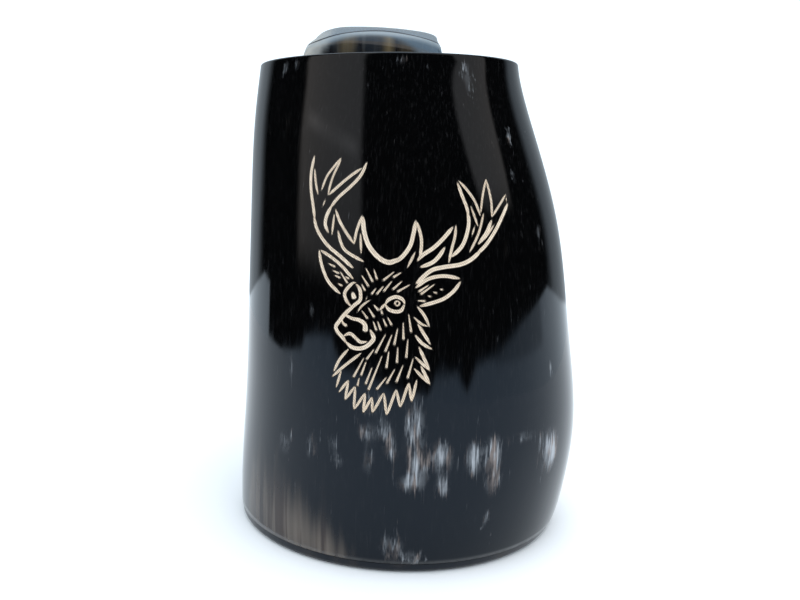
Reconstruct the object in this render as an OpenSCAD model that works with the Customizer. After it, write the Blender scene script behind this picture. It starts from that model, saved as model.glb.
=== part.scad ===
// Horn drinking mug: a section of ox horn, a base plate glued into its wide end,
// and a heat-bent horn strip riveted to its back as a handle.
// The origin is the centre of the base's underside. The handle points along +Y.

/* [Horn] */
// Height of the rim above the table
rim_height = 145; // [125:1:160]
// Outside width of the mouth, side to side
mouth_width = 80; // [74:0.5:86]
// Outside width of the horn at its widest, a fifth of the way up
belly_width = 109; // [102:0.5:114]
// Outside width of the foot, side to side
foot_width = 104.5; // [98:0.5:110]
// Depth of the horn's oval cross-section as a share of its width
oval = 0.93; // [0.88:0.01:0.98]
// How far the mouth leans towards -X from the foot
mouth_lean = 5.4; // [0:0.2:8]
// How far the belly swells towards +X from the foot
belly_swell = 3.5; // [0:0.1:5]
// Skew of the cross-section at the foot: its front moves this far to +X, its back to -X
foot_skew = 2.6; // [0:0.2:6]
// Skew of the cross-section at the mouth
mouth_skew = 9; // [0:0.5:12]
// Wall thickness at the mouth
mouth_wall = 4.4; // [3.6:0.1:5.5]
// Wall thickness at the foot
foot_wall = 3.6; // [3:0.1:5]

/* [Base] */
// Thickness of the plate that shows below the horn
plate_thickness = 3.2; // [2.4:0.2:5]
// Height of the step that fits up inside the horn
step_height = 5; // [3:0.5:9]
// Height and width of the sealing bead around the step
bead_size = 3; // [2:0.5:4]

/* [Handle] */
// Thickness of the horn strip
strip_thickness = 4.6; // [3.6:0.2:5.4]
// Width of the strip where it rises past the rim
strip_width = 50.5; // [44:0.5:56]
// Width of the strip at the grip
grip_width = 31; // [24:1:36]
// Width of the strip where it is riveted near the foot
tail_width = 23; // [20:1:28]
// Height of the strip's crest above the rim
crest_rise = 20; // [16:1:26]
// How far the crest's left shoulder drops
left_shoulder = 2; // [0:0.5:8]
// Slope of the crest across the mug, down towards +X
crest_tilt = 0.03; // [0:0.01:0.1]
// Distance from the horn's axis to the back of the grip
handle_reach = 91; // [84:1:98]

/* [Rivets] */
// Diameter of a rivet's shank
shank_d = 3; // [2.4:0.2:4]
// Diameter of a rivet's domed head
head_d = 7; // [6:0.5:9]
// Diameter of the rove inside the wall
rove_d = 8; // [7:0.5:10]
// Distance between the two rivets under the rim
top_rivet_spacing = 28; // [24:1:32]
// Distance between the two rivets near the foot
bottom_rivet_spacing = 12; // [11:1:16]

/* [Hidden] */

// Segments around the horn, and rings up its outside and inside walls
around = 64;
outer_rings = 18;
inner_rings = 20;
// Thickness of the glue lines, and clearance of the step and of the rivets' holes
glue_line = 0.1;
step_clearance = 0.2;
hole_clearance = 0.05;
// Gap between the strip and the wall that it is pressed against
strip_gap = 0.3;
// Where the strip's middle is, across the mug, at its two ends
strip_top_x = -13.5;
strip_foot_x = -4;

// ---- Splines and sweeps ----

function total(list, i = 0) = i < len(list) ? list[i] + total(list, i + 1) : 0;
function product(list, i = 0) = i < len(list) ? list[i] * product(list, i + 1) : 1;

// Smooth curve through (places, values): the one polynomial that passes through them all
function through(t, places, values) = total([
    for (i = [0:len(places) - 1])
        values[i] * product([
            for (j = [0:len(places) - 1])
                if (j != i) (t - places[j]) / (places[i] - places[j])
        ])
]);

// Catmull-Rom spline through a list of stations, each a vector, at s from 0 to len - 1
function spline(list, s) = let(
    last = len(list) - 1,
    i = max(0, min(floor(s), last - 1)),
    f = s - i,
    p1 = list[i],
    p2 = list[i + 1],
    p0 = i > 0 ? list[i - 1] : 2 * p1 - p2,
    p3 = i + 2 <= last ? list[i + 2] : 2 * p2 - p1
) p1 + f / 2 * (p2 - p0 + f * (2 * p0 - 5 * p1 + 4 * p2 - p3 + f * (3 * (p1 - p2) + p3 - p0)));

// Quads between neighbouring rings, as two triangles each. A ring's points run anticlockwise
// about the direction that the rings follow.
function skin(rings, count, closed) = [
    for (r = [0:rings - (closed ? 1 : 2)], k = [0:count - 1]) let(
        a = r * count + k,
        b = r * count + (k + 1) % count,
        c = (r + 1) % rings * count + (k + 1) % count,
        d = (r + 1) % rings * count + k
    ) each [[c, b, a], [d, c, a]]
];

// Solid through rings of points. A closed one joins its last ring to its first, as a tube does.
module loft(rings, closed = false) {
    count = len(rings[0]);
    last = (len(rings) - 1) * count;
    caps = closed ? [] : [
        [for (k = [0:count - 1]) k],
        [for (k = [count - 1:-1:0]) last + k],
    ];
    polyhedron(
        points = [for (ring = rings) each ring],
        faces = concat(skin(len(rings), count, closed), caps)
    );
}

// ---- The horn's shape ----

// Knots from the foot to the rim, evenly spaced. The width between the two ends is a share of the
// belly's, and the side offset is the belly's swell to +X less the mouth's lean to -X.
width_shares = [0.498, 0.501, 0.4925, 0.479, 0.466, 0.450, 0.4265, 0.396];
swell_shares = [0, 0.63, 1, 0.98, 0.71, 0.44, 0.09, 0, 0, 0];
lean_shares = [0, 0, 0, 0, 0, 0, 0, 0.32, 0.76, 1];
half_widths = [foot_width / 2, each belly_width * width_shares, mouth_width / 2];
side_offsets = belly_swell * swell_shares - mouth_lean * lean_shares;
knots = [for (i = [0:len(half_widths) - 1]) i / (len(half_widths) - 1)];

function half_width(z) = through(z / rim_height, knots, half_widths);
function axis_x(z) = through(z / rim_height, knots, side_offsets);
function skew(z) = foot_skew + (mouth_skew - foot_skew) * z / rim_height;
function straight_half(z) = sqrt(pow(half_width(z), 2) - pow(skew(z), 2));
function wall(z) = foot_wall + (mouth_wall - foot_wall) * z / rim_height;

// Point of the horn's outside at an angle and height, moved in by inset
function horn_point(angle, z, inset = 0) = [
    axis_x(z) + (straight_half(z) - inset) * cos(angle) - skew(z) * sin(angle),
    (half_width(z) * oval - inset) * sin(angle),
    z,
];
function horn_ring(z, inset) = [for (k = [0:around - 1]) horn_point(360 * k / around, z, inset)];

// The horn's back wall: its distance at a point, and the directions that it faces there
function back_angle(x, z) =
    acos((x - axis_x(z)) / half_width(z)) - atan2(skew(z), straight_half(z));
function back_y(x, z) = horn_point(back_angle(x, z), z)[1];
function back_heading(x, z) = atan2(back_y(x + 1, z) - back_y(x - 1, z), 2);
function back_tilt(x, z) = atan2(back_y(x, z - 1) - back_y(x, z + 1), 2);

// ---- Horn body ----

horn_bottom = plate_thickness + glue_line;
// Radius of the rim's rounded corners
lip_round = 0.6;

module horn_shell() {
    outside = [
        for (i = [0:outer_rings])
            let(z = horn_bottom + (rim_height - lip_round - horn_bottom) * i / outer_rings) [z, 0]
    ];
    lip_corner = [
        for (angle = [30:30:90])
            [rim_height - lip_round * (1 - sin(angle)), lip_round * (1 - cos(angle))]
    ];
    lip = concat(lip_corner, [for (i = [2:-1:0]) [lip_corner[i][0], mouth_wall - lip_corner[i][1]]]);
    inside = [
        for (i = [inner_rings:-1:0])
            let(z = horn_bottom + (rim_height - lip_round - horn_bottom) * i / inner_rings) [z, wall(z)]
    ];
    loft([for (ring = concat(outside, lip, inside)) horn_ring(ring[0], ring[1])], closed = true);
}

module horn_body() {
    color([0.09, 0.09, 0.11])
    difference() {
        horn_shell();
        for (i = rivets) at_rivet(i) rivet_hole();
    }
}

// ---- Base ----

step_top = plate_thickness + step_height;
step_inset = foot_wall + step_clearance;
step_chamfer = 0.8;
// The plate's edge is rounded, and set back a little from the horn's outside
edge_round = 1.6;
edge_inset = 0.3;

module base_plate() {
    edge = [
        for (angle = [0:30:90])
            [edge_round * (1 - cos(angle)), edge_inset + edge_round * (1 - sin(angle))]
    ];
    step = [
        [plate_thickness, edge_inset],
        [plate_thickness, step_inset],
        [step_top - step_chamfer, step_inset],
        [step_top, step_inset + step_chamfer],
    ];
    color([0.05, 0.05, 0.06])
    loft([for (ring = concat(edge, step)) horn_ring(ring[0], ring[1])]);
}

// Bead of resin in the corner between the base's top and the horn's inside
module seal_bead() {
    foot = step_top + glue_line;
    near = wall(foot + bead_size) + step_clearance;
    section = [
        [foot, near],
        [foot + bead_size, near],
        [foot + bead_size * 0.4, near + bead_size * 0.45],
        [foot, near + bead_size],
    ];
    color([0.16, 0.10, 0.05])
    loft([for (ring = section) horn_ring(ring[0], ring[1])], closed = true);
}

// ---- Handle ----

// Distance of the back wall behind the strip's middle, and of the strip's middle where it is
// pressed against that wall
function back_middle(z) = back_y(z > rim_height / 2 ? strip_top_x : strip_foot_x, z);
function pressed_y(z) = back_middle(z) + strip_gap + strip_thickness / 2;

// Stations along the strip, from the end under the rim, over the crest, to the tail.
// Each is [distance back, height, width, camber, pressed, crest]. Camber is one over the radius
// that the strip bends to across its width. Pressed is 1 where it follows the wall, and crest
// is 1 where it has the crest's tilt and dropped shoulder.
crest_z = rim_height + crest_rise - strip_thickness / 2;
reach_y = handle_reach - strip_thickness / 2;
strip_stations = [
    [pressed_y(108), 108, strip_width * 0.90, 0, 1, 0],
    [pressed_y(119), 119, strip_width * 0.95, 0, 1, 0],
    [pressed_y(129), 129, strip_width * 0.98, 0, 1, 0],
    [pressed_y(137) + 0.1, 137, strip_width, 0, 1, 0],
    [pressed_y(144) + 0.9, 144, strip_width, 0, 0.9, 0],
    [pressed_y(140) + 0.7, 150, strip_width, 0.002, 0.5, 0],
    [pressed_y(140) + 1.2, 155.5, strip_width * 0.97, 0.003, 0.1, 0.15],
    [pressed_y(140) + 5, crest_z - 3.5, strip_width * 0.91, 0.005, 0, 0.7],
    [reach_y - 30, crest_z, strip_width * 0.87, 0.0065, 0, 1],
    [reach_y - 14, crest_z - 7, strip_width * 0.77, 0.012, 0, 0.7],
    [reach_y - 3, crest_z - 23, strip_width * 0.67, 0.020, 0, 0.3],
    [reach_y, crest_z - 42, grip_width * 1.06, 0.022, 0, 0.1],
    [reach_y - 3.5, crest_z - 62, grip_width, 0.022, 0, 0],
    [reach_y - 12, crest_z - 82, grip_width * 0.95, 0.020, 0, 0],
    [reach_y - 22, crest_z - 97, grip_width * 0.88, 0.014, 0.1, 0],
    [pressed_y(57) + 4.5, 57, tail_width * 1.10, 0.006, 0.5, 0],
    [pressed_y(49) + 0.8, 48.5, tail_width * 1.02, 0, 0.9, 0],
    [pressed_y(40), 40, tail_width, 0, 1, 0],
    [pressed_y(29), 29, tail_width, 0, 1, 0],
    [pressed_y(21) + 0.7, 21, tail_width * 0.96, 0, 0.9, 0],
    [pressed_y(16) + 4, 13.5, tail_width * 0.88, 0.004, 0.6, 0],
];
strip_sections = 60;
strip_corners = 28;
// Radius of the corners that the strip's two ends have, and how far its end faces are flat
corner_round = tail_width * 0.43;
end_flat = 0.3;
// Where the left shoulder starts to drop, as a share of the strip's width from its middle
shoulder_start = 0.2;
last_station = len(strip_stations) - 1;

// Half-thickness of the strip at a share of its half-width: nearly flat, with rounded edges
function flat_round(share) = pow(1 - pow(share, 8), 0.25);
// Height of a quarter circle of radius 1, at a distance from where it starts
function quarter_round(distance) = sqrt(1 - pow(1 - min(1, distance), 2));
function place(s) = let(station = spline(strip_stations, s)) [station[0], station[1]];
function strip_x(s) = strip_top_x + (strip_foot_x - strip_top_x) * s / last_station;
function from_end(s) = min(norm(place(s) - place(0)), norm(place(s) - place(last_station)));

// One section of the strip: rounded across, bent to its camber, and pressed to the wall
function strip_ring(s) = let(
    station = spline(strip_stations, s),
    along = place(s + 0.02) - place(s - 0.02),
    out = [-along[1], along[0]] / norm(along),
    edge = from_end(s) + end_flat,
    width = station[2] - 2 * corner_round * (1 - quarter_round(edge / corner_round)),
    thickness = strip_thickness * quarter_round(edge / strip_thickness * 2)
) [
    for (k = [0:strip_corners - 1]) let(
        turn = -360 * k / strip_corners,
        across = width / 2 * cos(turn),
        depth = thickness / 2 * sign(sin(turn)) * flat_round(cos(turn)),
        shoulder = max(0, -across / width - shoulder_start) / (0.5 - shoulder_start),
        drop = crest_tilt * across + left_shoulder * pow(shoulder, 3),
        bend = -station[3] * across * across / 2 - station[5] * drop,
        x = strip_x(s) + across,
        z = station[1] + out[1] * (depth + bend),
        follow = back_y(x, z) - back_middle(z)
    ) [x, station[0] + out[0] * (depth + bend) + follow * station[4], z]
];

// The sections lie closer together towards the strip's rounded ends
module strip() {
    loft([
        for (i = [0:strip_sections])
            strip_ring(last_station * (1 - cos(180 * i / strip_sections)) / 2)
    ]);
}

module handle() {
    color([0.20, 0.19, 0.19])
    difference() {
        strip();
        for (i = rivets) at_rivet(i) rivet_hole();
    }
}

// ---- Rivets ----

top_rivet_z = 127;
bottom_rivet_z = 34.5;
// The rivets' numbers, and each one's place across the mug and height: two under the rim, then two
// near the foot
rivets = [0:3];
rivet_places = [
    [strip_top_x - top_rivet_spacing / 2, top_rivet_z],
    [strip_top_x + top_rivet_spacing / 2, top_rivet_z],
    [strip_foot_x, bottom_rivet_z + bottom_rivet_spacing / 2],
    [strip_foot_x, bottom_rivet_z - bottom_rivet_spacing / 2],
];
// Room under a rove and a head, because the wall is curved and they are flat
rove_gap = 0.35;
head_gap = 0.2;
rove_thickness = 1.2;
head_height = 2.2;

function rivet_x(i) = rivet_places[i][0];
function rivet_z(i) = rivet_places[i][1];
function rivet_heading(i) = back_heading(rivet_x(i), rivet_z(i));
function rivet_tilt(i) = back_tilt(rivet_x(i), rivet_z(i));
// The strip's thickness is measured square to the strip's middle, so a rivet crosses it at a slant
function head_face(i) = (strip_gap + strip_thickness) * cos(rivet_heading(i)) + head_gap;
function rove_face(i) = -wall(rivet_z(i)) - rove_gap;

// Places a rivet square to the wall: Z = 0 is at the horn's outside, and +Z points outwards
module at_rivet(i) {
    translate([rivet_x(i), back_y(rivet_x(i), rivet_z(i)), rivet_z(i)])
    rotate([0, 0, rivet_heading(i)])
    rotate([rivet_tilt(i) - 90, 0, 0])
        children();
}

module rivet_hole() {
    cylinder(d = shank_d + 2 * hole_clearance, h = 24, center = true, $fn = 48);
}

// Domed head outside, shank through the strip and the wall, peened end over the rove
module rivet(i) {
    head_rim = 0.4;
    peen_r = shank_d * 0.85;
    peen_height = 0.9;
    peen_face = rove_face(i) - rove_thickness - hole_clearance;
    dome = [
        for (angle = [0:15:90])
            [head_d / 2 * cos(angle), head_face(i) + head_rim + (head_height - head_rim) * sin(angle)]
    ];
    peen = [
        for (angle = [90:-15:0])
            [peen_r * cos(angle), peen_face - peen_height * sin(angle)]
    ];
    color([0.72, 0.56, 0.28])
    at_rivet(i)
    rotate_extrude($fn = 48)
        polygon(concat(
            peen,
            [[shank_d / 2, peen_face], [shank_d / 2, head_face(i)], [head_d / 2, head_face(i)]],
            dome
        ));
}

// Small dished washer that the rivet's end is peened over
module rove(i) {
    hole_r = shank_d / 2 + hole_clearance;
    top_rim = 1.2;
    dish = 0.2;
    color([0.70, 0.54, 0.27])
    at_rivet(i)
    rotate_extrude($fn = 48)
        polygon([
            [hole_r, rove_face(i)],
            [rove_d / 2, rove_face(i)],
            [rove_d / 2 - dish, rove_face(i) - rove_thickness / 2],
            [hole_r + top_rim, rove_face(i) - rove_thickness],
            [hole_r, rove_face(i) - rove_thickness],
        ]);
}

module top_rivet_left() { rivet(0); }
module top_rivet_right() { rivet(1); }
module bottom_rivet_upper() { rivet(2); }
module bottom_rivet_lower() { rivet(3); }
module top_rove_left() { rove(0); }
module top_rove_right() { rove(1); }
module bottom_rove_upper() { rove(2); }
module bottom_rove_lower() { rove(3); }

horn_body();
base_plate();
seal_bead();
handle();
top_rivet_left();
top_rivet_right();
bottom_rivet_upper();
bottom_rivet_lower();
top_rove_left();
top_rove_right();
bottom_rove_upper();
bottom_rove_lower();
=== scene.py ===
"""Looks for the horn drinking mug: polished black horn with a stag's head cut into its front.

Lengths are in millimetres until they reach a mesh. X is across the mug as the camera sees it,
+Y points to the handle, and Z is up.
"""

import math
import random

import bpy
import numpy as np
from mathutils import Matrix, Vector
from mathutils.geometry import delaunay_2d_cdt


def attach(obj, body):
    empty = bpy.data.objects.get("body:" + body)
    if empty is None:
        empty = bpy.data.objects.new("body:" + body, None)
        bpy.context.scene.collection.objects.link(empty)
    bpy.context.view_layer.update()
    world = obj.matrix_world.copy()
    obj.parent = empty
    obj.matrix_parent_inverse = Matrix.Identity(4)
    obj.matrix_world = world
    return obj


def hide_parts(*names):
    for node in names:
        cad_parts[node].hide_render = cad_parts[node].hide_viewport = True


MM = 0.001

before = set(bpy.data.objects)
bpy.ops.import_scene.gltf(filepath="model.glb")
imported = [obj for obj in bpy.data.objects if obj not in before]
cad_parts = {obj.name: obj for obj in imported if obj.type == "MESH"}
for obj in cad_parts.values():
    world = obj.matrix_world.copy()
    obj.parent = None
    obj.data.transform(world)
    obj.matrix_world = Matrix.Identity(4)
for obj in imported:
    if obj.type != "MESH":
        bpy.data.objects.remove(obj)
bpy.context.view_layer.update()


# ---- Shape of the horn, as in part.scad ----

RIM_HEIGHT = 145.0
MOUTH_WIDTH = 80.0
BELLY_WIDTH = 109.0
FOOT_WIDTH = 104.5
OVAL = 0.93
MOUTH_LEAN = 5.4
BELLY_SWELL = 3.5
FOOT_SKEW = 2.6
MOUTH_SKEW = 9.0
MOUTH_WALL = 4.4
FOOT_WALL = 3.6
PLATE_THICKNESS = 3.2
GLUE_LINE = 0.1
HORN_BOTTOM = PLATE_THICKNESS + GLUE_LINE

WIDTH_SHARES = np.array([0.498, 0.501, 0.4925, 0.479, 0.466, 0.450, 0.4265, 0.396])
SWELL_SHARES = np.array([0, 0.63, 1, 0.98, 0.71, 0.44, 0.09, 0, 0, 0])
LEAN_SHARES = np.array([0, 0, 0, 0, 0, 0, 0, 0.32, 0.76, 1])
HALF_WIDTHS = [FOOT_WIDTH / 2, *BELLY_WIDTH * WIDTH_SHARES, MOUTH_WIDTH / 2]
SIDE_OFFSETS = BELLY_SWELL * SWELL_SHARES - MOUTH_LEAN * LEAN_SHARES
KNOTS = np.linspace(0, RIM_HEIGHT, len(HALF_WIDTHS))
half_width = np.polynomial.Polynomial.fit(KNOTS, HALF_WIDTHS, len(KNOTS) - 1)
axis_x = np.polynomial.Polynomial.fit(KNOTS, SIDE_OFFSETS, len(KNOTS) - 1)


def skew(z):
    return FOOT_SKEW + (MOUTH_SKEW - FOOT_SKEW) * z / RIM_HEIGHT


def straight_half(z):
    return np.sqrt(half_width(z) ** 2 - skew(z) ** 2)


def wall(z):
    return FOOT_WALL + (MOUTH_WALL - FOOT_WALL) * z / RIM_HEIGHT


def horn_point(angle, z, inset=0.0):
    """Points of the horn's outside at angles and heights, moved in by inset."""
    x = axis_x(z) + (straight_half(z) - inset) * np.cos(angle) - skew(z) * np.sin(angle)
    y = (half_width(z) * OVAL - inset) * np.sin(angle)
    return np.stack(np.broadcast_arrays(x, y, z), axis=-1)


def horn_facing(angle, z):
    """Directions that the horn's outside faces."""
    step = 0.01
    along = horn_point(angle + step, z) - horn_point(angle - step, z)
    up = horn_point(angle, z + step) - horn_point(angle, z - step)
    out = np.cross(along, up)
    return out / np.linalg.norm(out, axis=-1, keepdims=True)


def wall_angle(x, z, side):
    """Angle where the horn's wall is at x. side is 1 for the back and -1 for the front."""
    return side * np.arccos((x - axis_x(z)) / half_width(z)) - np.arctan2(skew(z), straight_half(z))


def back_y(x, z):
    return horn_point(wall_angle(x, z, 1), z)[..., 1]


# ---- Splines and soft steps ----


def spline_point(p0, p1, p2, p3, f):
    """Catmull-Rom spline between p1 and p2, at f from 0 to 1."""
    bend = 2 * p0 - 5 * p1 + 4 * p2 - p3 + f * (3 * (p1 - p2) + p3 - p0)
    return p1 + f / 2 * (p2 - p0 + f * bend)


def smooth_step(value, low, high):
    share = np.clip((value - low) / (high - low), 0, 1)
    return share * share * (3 - 2 * share)


def box_step(value, low, high, edge):
    """1 from low to high, with soft edges."""
    return smooth_step(value, low - edge, low + edge) * smooth_step(value, high + edge, high - edge)


# ---- Meshes ----


def make_mesh(name, points, faces, material, node=None):
    """A smooth piece through points in millimetres. It stands for the CAD node, and rides with it."""
    mesh = bpy.data.meshes.new(name)
    mesh.from_pydata((np.asarray(points) * MM).tolist(), [], faces)
    mesh.materials.append(material)
    mesh.shade_smooth()
    mesh.validate()
    piece = bpy.data.objects.new(name, mesh)
    bpy.context.scene.collection.objects.link(piece)
    if node:
        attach(piece, "root")
        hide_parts(node)
    return piece


def ring_faces(rings, count, closed, start=0):
    """Quads between neighbouring rings of count points. Closed joins the last ring to the first."""
    faces = []
    for ring in range(rings if closed else rings - 1):
        a = start + ring * count
        b = start + (ring + 1) % rings * count
        for k in range(count):
            after = (k + 1) % count
            faces.append((a + k, a + after, b + after, b + k))
    return faces


def horn_rings(profile, count):
    """Rings of the horn's shape, from rows of (height, inset)."""
    angles = np.arange(count) * 2 * math.pi / count
    return np.concatenate([horn_point(angles, z, inset) for z, inset in profile])


def arc_rows(height, inset, radius, first, last, steps):
    """Rows of (height, inset) along an arc. Angle 0 faces out and 90 degrees faces up."""
    rows = []
    for angle in np.radians(np.linspace(first, last, steps)):
        rows.append((height + radius * math.sin(angle), inset + radius * (1 - math.cos(angle))))
    return rows


# ---- The engraving ----

# Strokes of the stag's head, each (width, points across and up on the horn's front).
ANTLER_STROKES = [
    # Left antler: the outside of its beam, then its tines from the top down
    (1.25, [(-24, 117.5), (-25, 112.5), (-25, 108), (-24.3, 103.5), (-23.7, 99.5)]),
    (1.25, [(-24.1, 101), (-23, 97), (-20, 93), (-16, 90), (-12.2, 87)]),
    (1.0, [(-24, 114), (-23.6, 110), (-22.8, 106.3)]),
    (0.9, [(-16.1, 117), (-18.6, 114), (-20.4, 111.5), (-22, 107.5)]),
    (0.9, [(-16.2, 116.6), (-18.2, 112.5), (-19.3, 109.4), (-20, 106.3)]),
    (1.0, [(-20, 106.4), (-16, 110), (-13.3, 112.2), (-10.3, 114.3)]),
    (1.1, [(-9, 116), (-10.8, 112.2), (-13.5, 109.2), (-17, 106), (-19.5, 102.8)]),
    (1.3, [(-18.7, 104), (-20.2, 101), (-20.6, 98.5), (-19.5, 96)]),
    (0.8, [(-20.5, 105.8), (-21.6, 103)]),
    (0.9, [(-18, 101.8), (-18.7, 95.5)]),
    (1.1, [(-17.8, 103.2), (-16.6, 100), (-15, 97.3), (-12.2, 93.6)]),
    (1.0, [(-12.4, 93.4), (-11.6, 97.5), (-10.1, 101.8)]),
    (1.1, [(-17, 97.4), (-16, 93.8), (-14.3, 91.5), (-9.3, 89)]),
    (0.9, [(-10.6, 97), (-10.3, 91)]),
    # Between the antlers
    (1.55, [(-10, 101.6), (-9.6, 97.4), (-8.2, 93.5), (-5.5, 90.5), (-2.6, 89.3), (0.4, 90.6)]),
    (1.35, [(-3.5, 89.4), (0, 90.2), (2.8, 93.6), (3.8, 97.2), (4.4, 101)]),
    # Right antler, from its root out
    (1.1, [(4.6, 100.6), (5.8, 96.6), (6, 94), (5.6, 90.4)]),
    (1.3, [(4.8, 89.7), (6.3, 91.5), (9.2, 93.5), (11.8, 96), (14.6, 99.4)]),
    (1.0, [(15.2, 99.9), (15, 96.7), (14.2, 93.3), (13.4, 89.3)]),
    (1.3, [(14, 91), (16.8, 93.8), (18.1, 96.8), (18.7, 100.4), (18.2, 103.6)]),
    (1.2, [(18.7, 101.5), (18, 104.4), (16.8, 107.2), (15.2, 111.2)]),
    (1.0, [(15.4, 111.6), (17.8, 109.2), (20.2, 106), (22, 101.8)]),
    (0.9, [(21.9, 102.6), (22.4, 107.4), (23.3, 112.2)]),
    (1.0, [(23.2, 112.1), (24.5, 107.6), (25, 104.8), (25.1, 101.4)]),
    (0.9, [(25, 101.6), (27.3, 105), (29.2, 108)]),
    (0.7, [(29.2, 107.8), (29.3, 105)]),
    (1.25, [(29.8, 105.6), (28.3, 102.2), (26.4, 98.4), (23.7, 94.4), (20.8, 91.6)]),
    (1.35, [(22.5, 93), (19.5, 90.4), (16.5, 89.1), (12, 88.4), (8.5, 87.3), (4.5, 83.6)]),
    (0.9, [(19, 105), (21.4, 98.9)]),
    (0.9, [(22.8, 103), (21.5, 97.5), (19, 92.2)]),
    (0.8, [(20.5, 99.8), (19.5, 96.4)]),
    (1.3, [(25.2, 101.2), (23.6, 97.4), (21.3, 94.3)]),
    (0.8, [(26, 100), (22.7, 95.2)]),
    (1.3, [(5.5, 88.2), (8.8, 89.5), (10.7, 91.2), (12.5, 94)]),
    (0.9, [(4.5, 92.6), (2.2, 87.8)]),
]
HEAD_STROKES = [
    # Ears
    (1.2, [(-22.4, 91.6), (-21.6, 87.5), (-19.9, 83.5), (-17.8, 81.2), (-15.8, 79.7)]),
    (1.1, [(-22.2, 91.5), (-18.8, 89.7), (-15.7, 87.5), (-12.2, 84)]),
    (1.2, [(4.4, 82.5), (7.3, 84.8), (10, 85.8), (13, 86), (16.9, 85.3)]),
    (1.2, [(17, 84.8), (15.2, 82.2), (12.8, 80.2), (10.3, 79.1), (5.6, 77.7)]),
    # Left eye, whose right side runs on down the nose, and the line beside it
    (1.15, [(-11.4, 83.2), (-12.5, 83.1), (-14.2, 81.3), (-14.8, 79.8), (-14.2, 78.1), (-12.8, 76.5)]),
    (1.2, [(-11.9, 83.1), (-10.7, 81.9), (-10.3, 80.2), (-10.5, 78.5), (-12.2, 76.9), (-14.6, 74.4)]),
    (1.3, [
        (-12.2, 76.9), (-14.6, 74.4), (-16.4, 72), (-17.2, 70.5), (-16.6, 69.1), (-15.2, 67.8),
        (-13.9, 66.1),
    ]),
    (0.8, [(-7.3, 79), (-8.7, 78.1), (-10.1, 76.8), (-11.3, 74.9)]),
    (0.75, [(-8.4, 80), (-8.9, 78.4)]),
    # Right eye: its lids, and the fold in front of it
    (1.2, [(-3.6, 77.6), (-2.6, 79.2), (-0.6, 80.1), (1.3, 79.4), (1.9, 77.9)]),
    (1.2, [(-3.6, 78.2), (-2.6, 76.7), (-0.8, 76.1), (0.9, 76.5), (1.9, 78.5)]),
    (1.1, [(-3, 78.5), (-4.2, 77.2), (-5.2, 75.9)]),
    # Chin and mouth
    (1.35, [
        (-14.5, 66.9), (-12.9, 65.6), (-11.2, 65.2), (-9.2, 65.6), (-7.4, 67), (-6.5, 68.6), (-7.7, 71),
    ]),
    (1.15, [(-15.2, 68.1), (-13.3, 69.1), (-12, 68.5), (-10.2, 67.1), (-8, 67.4)]),
]
# Strokes that start thin and end blunt: the nose, the nostril, the left pupil and a tear line
BLUNT_STROKES = [
    (1.7, [(-14.9, 74.4), (-12.7, 73.4), (-10.6, 73.1), (-9, 72), (-8.9, 69.7)]),
    (1.2, [(-15.7, 73.4), (-15.1, 71.8), (-13.8, 71)]),
    (1.9, [(-12.7, 80.9), (-11.9, 78.5)]),
    (1.0, [(-6.8, 77.8), (-5, 75.9)]),
    (1.0, [(-4.6, 76.6), (-4.1, 74.8)]),
]
FUR_STROKES = [
    # Chin, chest and the ragged edge of the neck
    (1.0, [(-13.3, 65), (-16, 61.5), (-17.8, 57.6)]),
    (1.0, [(-9.7, 64.2), (-14.5, 60), (-18.3, 56.2)]),
    (0.9, [(-15.4, 58.8), (-17, 53.2)]),
    (1.0, [(5, 78), (7.2, 75.3), (8.8, 72)]),
    (0.9, [(8.6, 72.3), (6.5, 73), (4.1, 75)]),
    (1.1, [(5.3, 73.3), (9.2, 67.2)]),
    (1.1, [(4.6, 70.2), (6.8, 67.7), (9.8, 66)]),
    (1.1, [(5.8, 67), (9.1, 60)]),
    (1.0, [(8.9, 60.3), (4.7, 64.2)]),
    (1.1, [(6.4, 61.8), (9.3, 56.2)]),
    (1.0, [(9, 56.5), (4.5, 61)]),
]
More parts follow.
